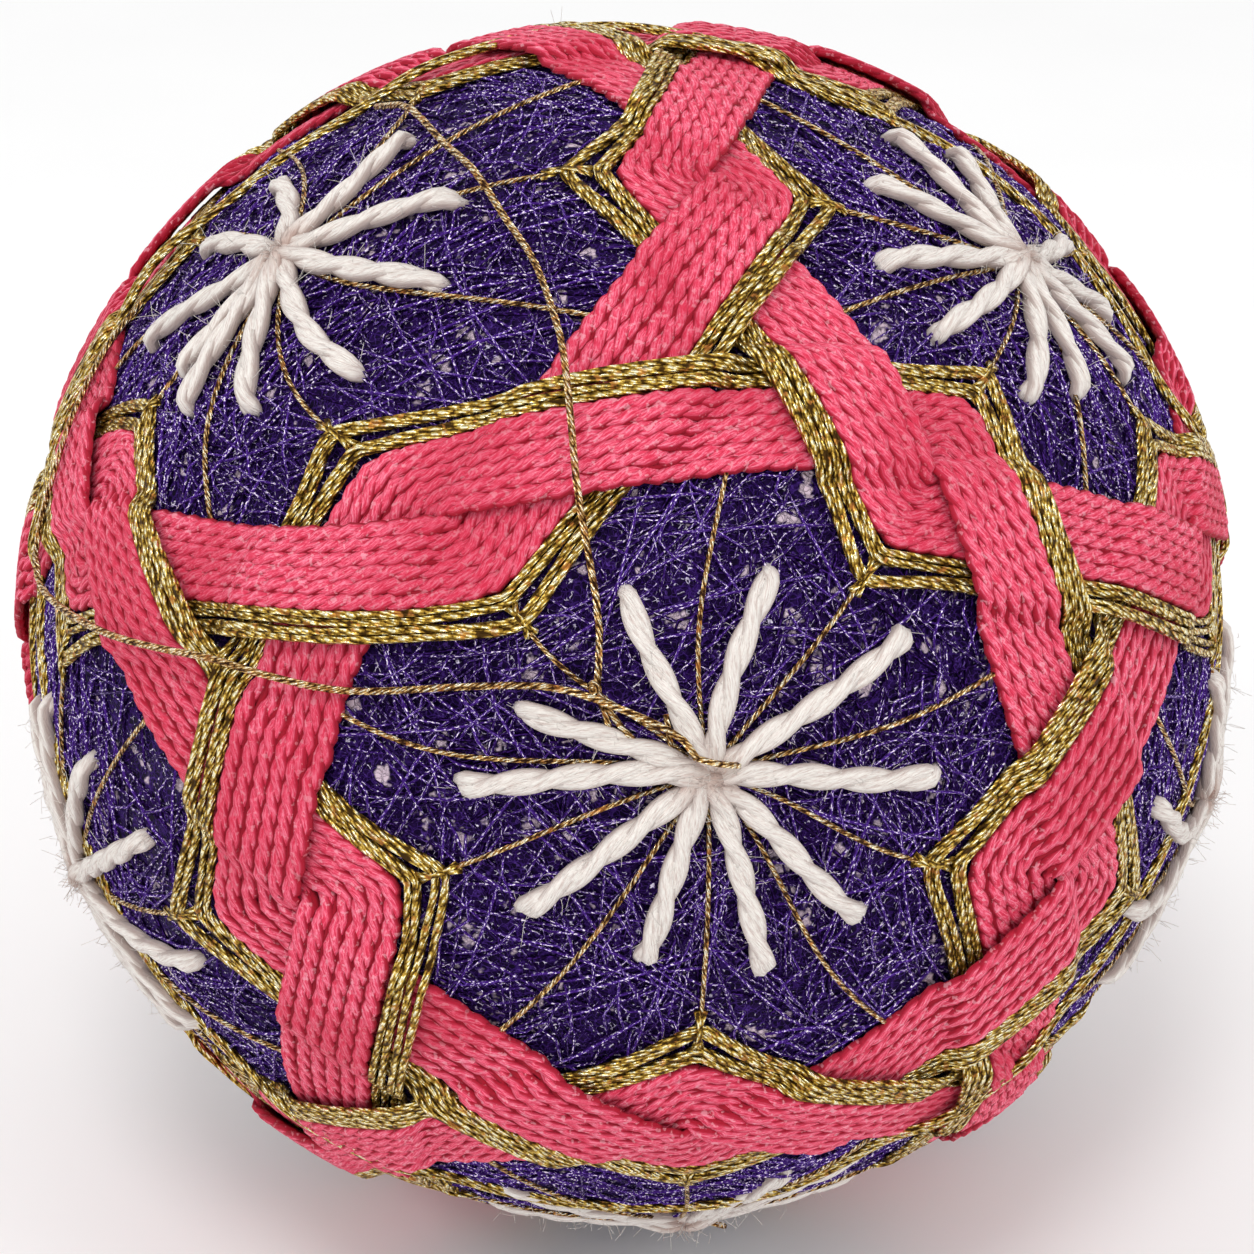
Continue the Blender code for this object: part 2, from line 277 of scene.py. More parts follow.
# Loose fibres on the stars' threads. A ray's are rooted further off its middle than a stitch's.
HAIRS_PER_THREAD = 44
HAIR_HALF = 0.019
HAIR_LENGTH = (0.3, 0.7)
HAIR_SCATTER = 0.2
HAIR_OUTWARD = 0.3
HAIR_BEND = 0.75
RAY_HAIR_SPREAD = 0.6
HUB_HAIR_SPREAD = 0.3

GUIDE_HALF = 0.16
GUIDE_HEIGHT = 0.36
GUIDE_START = 0.5
GUIDE_STEP = 1.1
GUIDE_BEND = 0.2
# To the corner of a neighbour's border, and to just under the star's own band
GUIDE_REACHES = (19.8, 28.0)

STITCH_SPAN = (41.0, 44.6)
STITCH_SHIFTS = (-0.28, 0.3)
STITCH_RISE = 0.28

ROUND_THREAD_HALF = 0.24
ROUND_THREAD_SHIFTS = (-0.35, 0.35)
ROUND_THREAD_HEIGHT = 0.36
ROUND_THREAD_CLIMB = 1.05

WINDINGS = (
    # name, runs, length, points in a run, curl in radians a step, half width, lowest and top level
    ("winding_long", 3100, 13.0, 5, 0.05, 0.145, 39.95, 40.26),
    ("winding_matted", 6700, 4.2, 4, 0.5, 0.125, 39.98, 40.32),
)
END_DIP = 0.3

# The angles round a thread's section at which its corners are
ROUND_6 = np.radians(np.arange(6) * 60.0 - 180.0)
ROUND_5 = np.radians(np.arange(5) * 72.0 - 180.0)
ROUND_3 = np.radians((-120.0, 0.0, 120.0))

# The one source of random numbers, so that every run draws the same ball
rng = np.random.default_rng(12)


def unit(vectors):
    return vectors / np.linalg.norm(vectors, axis=-1, keepdims=True)


def direction(azimuth, elevation):
    turn, rise = math.radians(azimuth), math.radians(elevation)
    level = math.cos(rise)
    return np.array([level * math.cos(turn), level * math.sin(turn), math.sin(rise)])


def smoothstep(low, high, value):
    part = np.clip((value - low) / (high - low), 0.0, 1.0)
    return part * part * (3 - 2 * part)


def fade(distance, reach):
    """1 at no distance, and close to 0 beyond twice the reach."""
    return np.exp(-((distance / reach) ** 2))


CENTRE = {
    code: direction(FRONT_HEADING + turn, 90 - polar) for code, _, polar, turn in CENTRES
}


def place(codes):
    """The direction midway between these centres. A code given twice counts twice."""
    return unit(sum(CENTRE[code] for code in codes.split()))


def nearness(points, anchors):
    angle = np.degrees(np.arccos(np.clip(points @ anchors.T, -1.0, 1.0)))
    return fade(angle, UNEVEN_REACH)


def uneven_weights():
    anchors = np.array([place(codes) for codes, _, _ in UNEVEN])
    shifts = []
    for anchor, (_, east_deg, north_deg) in zip(anchors, UNEVEN):
        east = unit(np.cross((0.0, 0.0, 1.0), anchor))
        north = np.cross(anchor, east)
        shifts.append(math.radians(east_deg) * east + math.radians(north_deg) * north)
    return anchors, np.linalg.solve(nearness(anchors, anchors), np.array(shifts))


ANCHORS, WEIGHTS = uneven_weights()


def uneven(points):
    """Moves points of the regular division to where they are on this ball."""
    radius = np.linalg.norm(points, axis=-1, keepdims=True)
    ways = points / radius
    shift = nearness(ways.reshape(-1, 3), ANCHORS) @ WEIGHTS
    return unit(ways + shift.reshape(ways.shape)) * radius


def even(points):
    """Where points of this ball are on the regular division."""
    ways = unit(points)
    guess = ways
    for _ in range(8):
        guess = unit(guess + ways - uneven(guess))
    return guess


def settle(points):
    """Draws points in near the bottom, so that the ball rests on a flat spot."""
    radius = np.linalg.norm(points, axis=-1, keepdims=True)
    ways = points / radius
    down = np.minimum(ways[..., 2:3], -1e-6)
    return ways * (radius - np.maximum(0.0, TOP_RADIUS + REST_HEIGHT / down))


core_low, core_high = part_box("core")
BALL_CENTRE = np.array([
    (core_low.x + core_high.x) / 2,
    (core_low.y + core_high.y) / 2,
    REST_HEIGHT * MM,
])


def to_frame(points):
    return points * MM + BALL_CENTRE


def neighbours(code):
    """The five centres next to this one, clockwise as seen from outside."""
    centre = CENTRE[code]
    close = [
        name for name, other in CENTRE.items() if abs(other @ centre - NEIGHBOUR_COSINE) < 0.001
    ]
    across = unit(np.cross(centre, CENTRE[close[0]]))
    along = np.cross(across, centre)

    def turn(other):
        return -math.atan2(CENTRE[other] @ across, CENTRE[other] @ along)

    return sorted(close, key=lambda other: (turn(other) + 0.1) % (2 * math.pi))


NEIGHBOURS = {code: neighbours(code) for code in CENTRE}


def edge_angle(points, centre, junction):
    """The angle from centre, towards junction, of the side-parallel line that each point is on."""
    towards = unit(junction - (junction @ centre) * centre)
    return np.degrees(np.arctan2(points @ towards, points @ centre))


def sides_of(code):
    """A band's five sides: the neighbours at each one's two ends, and the junction it faces."""
    ring = NEIGHBOURS[code]
    for first, second in zip(ring, ring[1:] + ring[:1]):
        yield first, second, unit(CENTRE[code] + CENTRE[first] + CENTRE[second])


def uncovered(points):
    """Which points of the regular division no band or gold border lies over."""
    low, high = COVERED_SIDES
    clear = np.ones(len(points), bool)
    for code, centre in CENTRE.items():
        angles = [edge_angle(points, centre, junction) for _, _, junction in sides_of(code)]
        side = np.max(angles, axis=0)
        clear &= ~((side > low) & (side < high))
    return clear


# Meshes


def section_axes(paths, closed):
    """A thread's outward and sideways directions at each of its points."""
    if closed:
        tangent = np.roll(paths, -1, -2) - np.roll(paths, 1, -2)
    else:
        tangent = np.gradient(paths, axis=-2)
    tangent = unit(tangent)
    outward = unit(paths)
    outward = unit(outward - (outward * tangent).sum(-1, keepdims=True) * tangent)
    return outward, np.cross(tangent, outward)


def along_path(path, closed):
    """Distance from the start at each point, and the whole length."""
    steps = np.linalg.norm(np.roll(path, -1, 0) - path, axis=1)
    along = np.concatenate([[0.0], np.cumsum(steps)])
    return along[:-1], along[-1] if closed else along[-2]


def twisted(path, spread, pitch, phase, closed):
    """The two plies of a twisted thread. spread is sideways and outwards, in millimetres."""
    outward, side = section_axes(path, closed)
    along, total = along_path(path, closed)
    turns = max(1, round(total / pitch)) if closed else total / pitch
    plies = []
    for start in (0.0, math.pi):
        angle = phase + start - along / total * turns * 2 * math.pi
        plies.append(
            path
            + side * (np.sin(angle) * spread[0])[:, None]
            + outward * (np.cos(angle) * spread[1])[:, None]
        )
    return np.array(plies)


class Threads:
    """Tubes gathered into one mesh. UVs are millimetres along the thread and around it."""

    def __init__(self):
        self.points, self.faces, self.uvs, self.marks = [], [], [], []
        self.count = 0

    def add(self, paths, half_width, half_height, angles, closed=False, marks=0.0, start=0.0):
        """paths is (threads, points, 3), or (points, 3) for one thread.

        angles are the section's, from outwards, in order. marks and the half sizes are numbers, or
        arrays that stretch to (threads, points).
        """
        if paths.ndim == 2:
            paths = paths[None]
        threads, length, _ = paths.shape
        sides = len(angles)
        outward, side = section_axes(paths, closed)
        wide = np.broadcast_to(half_width, (threads, length))
        high = np.broadcast_to(half_height, (threads, length))
        ring = (
            paths[:, :, None]
            + outward[:, :, None] * (np.cos(angles) * high[..., None])[..., None]
            + side[:, :, None] * (np.sin(angles) * wide[..., None])[..., None]
        )
        steps = np.linalg.norm(np.diff(paths, axis=1), axis=-1)
        along = np.concatenate([np.zeros((threads, 1)), np.cumsum(steps, 1)], 1) + start
        last = along[:, -1] + np.linalg.norm(paths[:, 0] - paths[:, -1], axis=-1)
        spans = length if closed else length - 1
        thread, span, face = np.meshgrid(
            np.arange(threads), np.arange(spans), np.arange(sides), indexing="ij"
        )
        ahead, beside = (span + 1) % length, (face + 1) % sides

        def vertex(point, corner):
            return self.count + (thread * length + point) * sides + corner

        quads = np.stack(
            [vertex(span, face), vertex(span, beside), vertex(ahead, beside), vertex(ahead, face)],
            -1,
        )
        turned = np.append(angles, angles[0] + 2 * math.pi)
        mean_width = wide.mean(1)[thread]
        near = along[thread, span]
        far = np.where(span + 1 < length, along[thread, ahead], last[thread])
        left = turned[face] * mean_width
        right = turned[face + 1] * mean_width
        uv = np.stack(
            [np.stack([near, left], -1), np.stack([near, right], -1),
             np.stack([far, right], -1), np.stack([far, left], -1)], -2
        )
        self.points.append(ring.reshape(-1, 3))
        self.faces.append(quads.reshape(-1, 4))
        self.uvs.append(uv.reshape(-1, 2))
        mark = np.broadcast_to(marks, (threads, length))
        self.marks.append(np.repeat(mark.reshape(-1), sides))
        if not closed:
            self.close_ends(threads, length, sides)
        self.count += threads * length * sides

    def close_ends(self, threads, length, sides):
        """Fans of triangles, each stored as a quad that names its last corner twice."""
        fan = np.arange(1, sides - 1)
        first = self.count + np.arange(threads)[:, None] * length * sides
        end = first + (length - 1) * sides
        zero = np.zeros_like(fan)
        near = np.stack([first + zero, first + fan + 1, first + fan, first + fan], -1)
        far = np.stack([end + zero, end + fan, end + fan + 1, end + fan + 1], -1)
        for cap in (near, far):
            self.faces.append(cap.reshape(-1, 4))
            self.uvs.append(np.zeros((cap.shape[0] * cap.shape[1] * 4, 2)))

    def make(self, name, material, slot, stands_for=()):
        points = to_frame(settle(np.concatenate(self.points)))
        faces = np.concatenate(self.faces)
        uvs = np.concatenate(self.uvs).reshape(-1, 4, 2)
        corners = np.where(faces[:, 2] == faces[:, 3], 3, 4)
        keep = np.arange(4)[None, :] < corners[:, None]
        data = bpy.data.meshes.new(name)
        data.vertices.add(len(points))
        data.vertices.foreach_set("co", points.astype(np.float32).ravel())
        data.loops.add(int(corners.sum()))
        data.loops.foreach_set("vertex_index", faces[keep].astype(np.int32))
        data.polygons.add(len(faces))
        starts = np.concatenate([[0], np.cumsum(corners)[:-1]])
        data.polygons.foreach_set("loop_start", starts.astype(np.int32))
        data.uv_layers.new(name="Thread")
        data.update(calc_edges=True)
        layer = data.uv_layers["Thread"]
        layer.uv.foreach_set("vector", uvs[keep].astype(np.float32).ravel())
        mark = data.attributes.new("mark", "FLOAT", "POINT")
        mark.data.foreach_set("value", np.concatenate(self.marks).astype(np.float32))
        data.shade_smooth()
        return finish_piece(name, data, material, stands_for)


def in_scene(name, data):
    made = bpy.data.objects.new(name, data)
    bpy.context.scene.collection.objects.link(made)
    return made


def finish_piece(name, data, material, stands_for=()):
    data.materials.append(material)
    piece = in_scene(name, data)
    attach(piece, "root")
    if stands_for:
        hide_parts(*stands_for)
    return piece


# Materials


class Nodes:
    """A material's node tree, with short calls for the nodes used here."""

    def __init__(self, name):
        self.material = bpy.data.materials.new(name)
        self.material.use_nodes = True
        self.tree = self.material.node_tree
        self.shader = self.tree.nodes["Principled BSDF"]

    def add(self, kind, inputs=(), output=0, **settings):
        made = self.tree.nodes.new(kind)
        for key, value in settings.items():
            setattr(made, key, value)
        for key, value in dict(inputs).items():
            self.put(made.inputs[key], value)
        return made.outputs[output]

    def put(self, socket, value):
        if isinstance(value, bpy.types.NodeSocket):
            self.tree.links.new(value, socket)
        else:
            socket.default_value = value

    def maths(self, operation, first, second=0.0, third=0.0):
        return self.add("ShaderNodeMath", {0: first, 1: second, 2: third}, operation=operation)

    def times(self, first, second):
        return self.maths("MULTIPLY", first, second)

    def times_plus(self, first, second, third):
        return self.maths("MULTIPLY_ADD", first, second, third)

    def map(self, value, low, high, to_low=0.0, to_high=1.0):
        return self.add(
            "ShaderNodeMapRange",
            {0: value, 1: low, 2: high, 3: to_low, 4: to_high},
            interpolation_type="SMOOTHSTEP",
        )

    def mix(self, factor, first, second):
        made = self.tree.nodes.new("ShaderNodeMix")
        made.data_type = "RGBA"
        self.put(made.inputs[0], factor)
        for socket, value in ((made.inputs[6], first), (made.inputs[7], second)):
            self.put(socket, value if isinstance(value, bpy.types.NodeSocket) else (*value, 1.0))
        return made.outputs[2]

    def thread(self):
        """Millimetres along the thread, and around it from its top."""
        uv = self.add("ShaderNodeUVMap", uv_map="Thread")
        split = self.tree.nodes.new("ShaderNodeSeparateXYZ")
        self.tree.links.new(uv, split.inputs[0])
        return split.outputs[0], split.outputs[1]

    def mark(self):
        """The thread's own mark: the pink rows' dark fill of painted shade, how much darker a white
        thread is, or a violet run's painted shade by depth.
        """
        return self.add("ShaderNodeAttribute", output=2, attribute_name="mark")

    def place(self, scale=1.0):
        """Object coordinates in millimetres, times scale."""
        spot = self.add("ShaderNodeTexCoord", output=3)
        return self.add("ShaderNodeVectorMath", {0: spot, 3: scale / MM}, operation="SCALE")

    def vector(self, x, y):
        return self.add("ShaderNodeCombineXYZ", {0: x, 1: y})

    def noise(self, spot, scale=1.0, detail=2.0, roughness=0.5):
        return self.add(
            "ShaderNodeTexNoise",
            {"Vector": spot, "Scale": scale, "Detail": detail, "Roughness": roughness},
        )

    def bump(self, height, depth):
        """depth is in millimetres."""
        normal = self.add(
            "ShaderNodeBump", {"Height": height, "Distance": depth * MM, "Strength": 1.0}
        )
        self.put(self.shader.inputs["Normal"], normal)

    def finish(self, colour, roughness, metallic=0.0, specular=0.5, sheen=0.0):
        shader = self.shader
        self.put(shader.inputs["Base Color"], colour)
        self.put(shader.inputs["Roughness"], roughness)
        self.put(shader.inputs["Metallic"], metallic)
        shader.inputs["Specular IOR Level"].default_value = specular
        shader.inputs["Sheen Weight"].default_value = sheen
        return self.material


# Colours are linear red, green and blue
# Pink: partly fibre tone and partly painted shade in the fibres' hollows, the plain pink, a painted
# highlight on the strands' crowns, painted shade in the crevices between strands, light specks of
# fibre, broad patches of painted shade, and the dark fill that stands for the shade between rows
PINK_FIBRE_SHADE = (0.72, 0.024, 0.072)
PINK_MIDDLE = (0.94, 0.080, 0.175)
PINK_CROWN_HIGHLIGHT = (1.0, 0.35, 0.47)
PINK_CREVICE_SHADE = (0.42, 0.003, 0.022)
PINK_SPECK = (1.0, 0.50, 0.58)
PINK_SHADE = (0.58, 0.016, 0.05)
PINK_FILL_SHADE = (0.40, 0.004, 0.022)
COPPER = (0.58, 0.22, 0.05)
# Gold, from the painted shade in the recesses through the plain metal to the painted highlight and
# glint on each bead
BRAID_SHADE_TO_GLINT = ((0.050, 0.022, 0.002), (0.34, 0.195, 0.025), (0.72, 0.51, 0.11), (1.0, 0.94, 0.64))
GUIDE_SHADE_TO_GLINT = ((0.035, 0.011, 0.003), (0.34, 0.17, 0.045), (0.82, 0.55, 0.22), (1.0, 0.93, 0.70))
# White: painted shade and light on the fibres, painted shade in the crevices between plies, and the
# colour it darkens to towards a star's middle and its rays' tips
WHITE_SHADE = (0.70, 0.57, 0.52)
WHITE_LIT = (0.97, 0.92, 0.86)
WHITE_CREVICE_SHADE = (0.48, 0.34, 0.30)
WHITE_DARKENED = (0.44, 0.24, 0.18)
# Violet thread: each pair runs from the lowest runs to the topmost, as painted shade by depth; the
# lit colours and the glint are painted highlights along the thread
VIOLET_DEPTH_SHADE = ((0.006, 0.0008, 0.018), (0.050, 0.013, 0.170))
VIOLET_LIT = ((0.045, 0.010, 0.15), (0.22, 0.10, 0.58))
VIOLET_GLINT = (1.0, 0.90, 1.0)
# Ground: a dark mottle, painted near black as the shade among the runs; coarse and fine violet
# lines; painted glints; and pale patches of wadding
GROUND_GAP_SHADE = ((0.003, 0.0005, 0.010), (0.016, 0.003, 0.055))
GROUND_COARSE = (0.05, 0.014, 0.18)
GROUND_FINE = (0.11, 0.045, 0.32)
GROUND_GLINT = (0.90, 0.82, 1.0)
GROUND_WAD = (0.66, 0.52, 0.60)
FLOOR_GREYS = ((0.86, 0.86, 0.86), (0.90, 0.90, 0.90))


def spun_fibres(nodes, along_scale, lean, around_scale, roughness):
    """Fine fibres that lean across a cotton strand."""
    along, around = nodes.thread()
    across = nodes.times_plus(along, lean, nodes.times(around, around_scale))
    spot = nodes.vector(nodes.times(along, along_scale), across)
    return nodes.noise(spot, detail=4.0, roughness=roughness)


def strand_rim(nodes, low, high):
    """0 on the crown of a strand, and 1 down its sides, where it meets the next. It masks painted
    shade in the crevices there, and inverted, for pink, a painted highlight on the crown.
    """
    return nodes.map(nodes.maths("ABSOLUTE", nodes.thread()[1]), low, high)


def pink_material():
    nodes = Nodes("pink_cotton")
    fibres = spun_fibres(nodes, 1.5, 1.2, 7.5, 0.75)
    rim = strand_rim(nodes, 0.14, 0.52)
    crown = nodes.times(nodes.maths("SUBTRACT", 1.0, rim), nodes.map(fibres, 0.45, 0.64))
    # Partly the fibres' own tone, and partly painted shade in their hollows where the bump is low
    colour = nodes.mix(nodes.map(fibres, 0.34, 0.60), PINK_FIBRE_SHADE, PINK_MIDDLE)
    # A painted highlight on the crown of each strand
    colour = nodes.mix(nodes.times(crown, 0.7), colour, PINK_CROWN_HIGHLIGHT)
    # Painted shade in the crevices down the strands' sides
    colour = nodes.mix(nodes.times(rim, 0.9), colour, PINK_CREVICE_SHADE)
    specks = nodes.map(nodes.noise(nodes.place(), scale=2.6), 0.59, 0.67, 0.0, 0.45)
    colour = nodes.mix(specks, colour, PINK_SPECK)
    patch = nodes.noise(nodes.place(), scale=0.10, detail=1.0)
    colour = nodes.mix(nodes.map(patch, 0.48, 0.66, 0.0, 0.45), colour, PINK_SHADE)
    # The dark fill threads between the rows, painted as shade
    colour = nodes.mix(nodes.mark(), colour, PINK_FILL_SHADE)
    nodes.bump(fibres, 0.16)
    return nodes.finish(colour, nodes.map(fibres, 0.3, 0.8, 0.7, 0.45), specular=0.25)


def gold_material(name, length, width, lean_deg, shade_to_glint):
    """Metallic thread, whose flat stitches catch the light as long slanting beads. Their glints and
    bright faces are painted highlights, and the dark round them is painted shade in the recesses.
    """
    recess_shade, middle, highlight, glint = shade_to_glint
    nodes = Nodes(name)
    along, around = nodes.thread()
    cosine = math.cos(math.radians(lean_deg))
    sine = math.sin(math.radians(lean_deg))
    long_way = nodes.times_plus(along, cosine / length, nodes.times(around, sine / length))
    short_way = nodes.times_plus(along, -sine / width, nodes.times(around, cosine / width))
    beads = nodes.tree.nodes.new("ShaderNodeTexVoronoi")
    beads.voronoi_dimensions = "2D"
    nodes.put(beads.inputs["Vector"], nodes.vector(long_way, short_way))
    beads.inputs["Scale"].default_value = 1.0
    distance = beads.outputs["Distance"]
    each = nodes.add("ShaderNodeSeparateColor", {0: beads.outputs["Color"]})
    flecks = nodes.noise(nodes.place(), scale=6.5, detail=1.0)
    own = nodes.times_plus(each, 0.34, 0.50)
    body = nodes.times_plus(distance, -1.1, own)
    shine = nodes.times_plus(flecks, 0.75, body)
    # Painted shade in the recesses round each bead, and painted highlights and glints on it
    gold = nodes.mix(nodes.map(shine, 0.22, 0.50), recess_shade, middle)
    gold = nodes.mix(nodes.map(shine, 0.54, 0.72), gold, highlight)
    gold = nodes.mix(nodes.map(shine, 0.76, 0.85), gold, glint)
    worn = nodes.map(nodes.noise(nodes.place(), scale=1.6), 0.60, 0.68, 0.0, 0.6)
    gold = nodes.mix(worn, gold, COPPER)
    nodes.bump(nodes.times(distance, -1.0), 0.25)
    return nodes.finish(gold, nodes.map(shine, 0.2, 0.9, 0.5, 0.25), 0.8, specular=0.3)


def white_material():
    nodes = Nodes("white_cotton")
    fibres = spun_fibres(nodes, 1.2, 2.2, 9.0, 0.7)
    colour = nodes.mix(nodes.map(fibres, 0.32, 0.60), WHITE_SHADE, WHITE_LIT)
    # Painted shade in the crevices between the plies
    colour = nodes.mix(nodes.times(strand_rim(nodes, 0.26, 0.72), 0.75), colour, WHITE_CREVICE_SHADE)
    # Darker towards a star's middle and its rays' tips
    colour = nodes.mix(nodes.mark(), colour, WHITE_DARKENED)
    nodes.bump(fibres, 0.2)
    return nodes.finish(colour, 0.85, specular=0.25, sheen=0.3)


def violet_thread_material():
    """The winding thread. Its mark is painted shade by depth, with some random spread: 1 for the
    topmost, brightest runs. Its lit flecks and glints are painted highlights.
    """
    nodes = Nodes("violet_thread")
    along, around = nodes.thread()
    depth_shading = nodes.mark()
    own_part = nodes.times(depth_shading, 300.0)
    across = nodes.times_plus(around, 5.0, own_part)
    flecks = nodes.noise(nodes.vector(nodes.times(along, 3.6), across), roughness=0.7)
    # Painted shade by depth: the lower runs are darker
    body = nodes.mix(depth_shading, *VIOLET_DEPTH_SHADE)
    lit = nodes.mix(depth_shading, *VIOLET_LIT)
    body = nodes.mix(nodes.map(flecks, 0.50, 0.58), body, lit)
    glint = nodes.times(nodes.map(flecks, 0.575, 0.62), nodes.map(depth_shading, 0.0, 0.45))
    body = nodes.mix(glint, body, VIOLET_GLINT)
    nodes.bump(flecks, 0.06)
    return nodes.finish(body, nodes.map(flecks, 0.4, 0.7, 0.55, 0.35), 0.45, specular=0.05)


def web(nodes, spot, scale, width):
    """Fine lines in every direction, like a mat of thread: 1 on a line and 0 between."""
    shaken = nodes.add("ShaderNodeTexNoise", {"Vector": spot, "Scale": scale * 0.7}, output=1)
    moved = nodes.add("ShaderNodeVectorMath", {0: shaken, 3: 1.2 / scale}, operation="SCALE")
    at = nodes.add("ShaderNodeVectorMath", {0: spot, 1: moved}, operation="ADD")
    edge = nodes.add(
        "ShaderNodeTexVoronoi", {"Vector": at, "Scale": scale}, feature="DISTANCE_TO_EDGE"
    )
    return nodes.map(edge, 0.0, width, 1.0, 0.0)


def violet_ground_material():
    nodes = Nodes("violet_ground")
    spot = nodes.place()
    mottle = nodes.noise(spot, scale=1.4, detail=4.0, roughness=0.75)
    # Painted near black as the shade among the runs, with a random mottle
    body = nodes.mix(nodes.map(mottle, 0.4, 0.7), *GROUND_GAP_SHADE)
    coarse = web(nodes, spot, 1.3, 0.12)
    fine = web(nodes, spot, 2.4, 0.10)
    body = nodes.mix(nodes.times(coarse, 0.5), body, GROUND_COARSE)
    body = nodes.mix(nodes.times(fine, mottle), body, GROUND_FINE)
    # Painted glints on the fine lines
    spark = nodes.map(nodes.noise(spot, scale=2.6, detail=1.0), 0.60, 0.66)
    body = nodes.mix(nodes.times(spark, fine), body, GROUND_GLINT)
    wad = nodes.noise(spot, scale=0.5, detail=3.0, roughness=0.6)
    body = nodes.mix(nodes.map(wad, 0.60, 0.66, 0.0, 0.9), body, GROUND_WAD)
    nodes.bump(nodes.times_plus(fine, 0.5, coarse), 0.12)
    return nodes.finish(body, 0.5, 0.3, specular=0.05)


PINK = pink_material()
GOLD = gold_material("gold_braid", 0.72, 0.27, 20, BRAID_SHADE_TO_GLINT)
GUIDE = gold_material("gold_guide", 0.62, 0.19, -30, GUIDE_SHADE_TO_GLINT)
WHITE = white_material()
VIOLET_BASE = violet_ground_material()
VIOLET = violet_thread_material()


# Paths


def ring_path(code, side, rounding, step, flare=0.0, wavers=False):
    """A closed line round a centre: its points on the regular division, and how far each is lifted.

    The line clears its centre by the angle `side`, and by `flare` more at its corners.
    """
    centre = CENTRE[code]
    points, sides = [], []
    for number, (first, _, junction) in enumerate(sides_of(code)):
        towards = unit(junction - (junction @ centre) * centre)
        end = unit(np.cross(towards, centre))
        if end @ CENTRE[first] > 0:
            end = -end
        reach = math.atan(math.sin(math.radians(side + flare)) * math.tan(HALF_TURN))
        count = int(round(2 * reach * NOMINAL_RADIUS / FINE_STEP))
        part = np.arange(count) / count * 2 - 1
        from_corner = (1 - np.abs(part)) * reach * NOMINAL_RADIUS
        angle = np.radians(side + flare * fade(from_corner, FLARE_LENGTH))
        run = part * reach
        points.append(
            np.cos(run)[:, None]
            * (np.cos(angle)[:, None] * centre + np.sin(angle)[:, None] * towards)
            + np.sin(run)[:, None] * end
        )
        sides.append(np.full(count, number))
    points, sides = np.concatenate(points), np.concatenate(sides)
    points = unit(soften(points, rounding / FINE_STEP))
    if wavers:
        points = unit(points + waver(points))
    lift = np.zeros(len(points))
    covered = np.zeros(len(points), bool)
    for number, (first, second, junction) in enumerate(sides_of(code)):
        here = sides == number
        below = edge_angle(points[here], CENTRE[first], junction)
        lift[here] = smoothstep(*UP_RAMP, below) * (1 - smoothstep(*DOWN_RAMP, below))
        above = edge_angle(points[here], CENTRE[second], junction)
        covered[here] = (above > HIDDEN[0]) & (above < HIDDEN[1])
    lift = soften(lift[:, None], LIFT_ROUNDING / FINE_STEP)[:, 0]
    seam = int(len(points) * SEAM_SHARE)
    points, lift = np.roll(points, -seam, 0), np.roll(lift, -seam)
    return even_steps(points, lift, np.roll(covered, -seam), step)


def soften(values, spread):
    """Gaussian smoothing round a closed line."""
    count = len(values)
    waves = np.fft.fftfreq(count) * 2 * math.pi
    keep = np.exp(-0.5 * (waves * spread) ** 2)
    return np.real(np.fft.ifft(np.fft.fft(values, axis=0) * keep[:, None], axis=0))


def sideways(points):
    """The direction to one side of a closed line, at each of its points."""
    tangent = unit(np.roll(points, -1, 0) - np.roll(points, 1, 0))
    return np.cross(points, tangent)


def waver(points):
    """A slow sideways wander of a laid thread."""
    wander = soften(rng.standard_normal((len(points), 1)), WAVER_LENGTH / FINE_STEP)
    wander /= wander.std()
    return sideways(points) * wander * WAVER / NOMINAL_RADIUS


def even_steps(points, lift, covered, step):
    """Resamples a closed line to about this step, and three times that where it is covered."""
    ahead = np.roll(points, -1, 0)
    gaps = np.linalg.norm(ahead - points, axis=1) * NOMINAL_RADIUS * np.where(covered, 0.33, 1.0)
    along = np.concatenate([[0.0], np.cumsum(gaps)])
    count = int(round(along[-1] / step))
    at = np.arange(count) / count * along[-1]
    closed = np.concatenate([points, points[:1]])
    levels = np.append(lift, lift[0])
    out = np.stack([np.interp(at, along, closed[:, axis]) for axis in range(3)], 1)
    return unit(out), np.interp(at, along, levels)


def smooth_route(points, count):
    """Evenly many points on a smooth curve through the route's own points."""
    padded = [2 * points[0] - points[1], *points, 2 * points[-1] - points[-2]]
    route = []
    for number in range(count):
        at = number * (len(points) - 1) / (count - 1)
        span = min(int(at), len(points) - 2)
        part = at - span
        before, start, end, after = padded[span : span + 4]
        bend = 2 * before - 5 * start + 4 * end - after
        skew = 3 * (start - end) + after - before
        route.append(0.5 * (2 * start + (end - before) * part + bend * part**2 + skew * part**3))
    return np.array(route)


def route_through(rows, count):
    """A smooth route through rows of azimuth, elevation and height."""
    points = [
        direction(azimuth, elevation) * (NOMINAL_RADIUS + height)
        for azimuth, elevation, height in rows
    ]
    return smooth_route(points, count)


# Camera, from the front and above


def aim(thing, target):
    thing.rotation_mode = "QUATERNION"
    thing.rotation_quaternion = (target - thing.location).to_track_quat("-Z", "Y")


def make_camera():
    data = bpy.data.cameras.new("camera")
    data.lens = CAMERA_LENS
    data.sensor_width = SENSOR_WIDTH
    data.clip_start = 0.01
    data.clip_end = 20.0
    camera = in_scene("camera", data)
    centre = Vector(BALL_CENTRE)
    elevation = math.radians(CAMERA_ELEVATION)
    away = Vector((0, -math.cos(elevation), math.sin(elevation)))
    camera.location = centre + CAMERA_DISTANCE * away
    aim(camera, centre)
    bpy.context.scene.camera = camera


make_camera()


# Loose threads


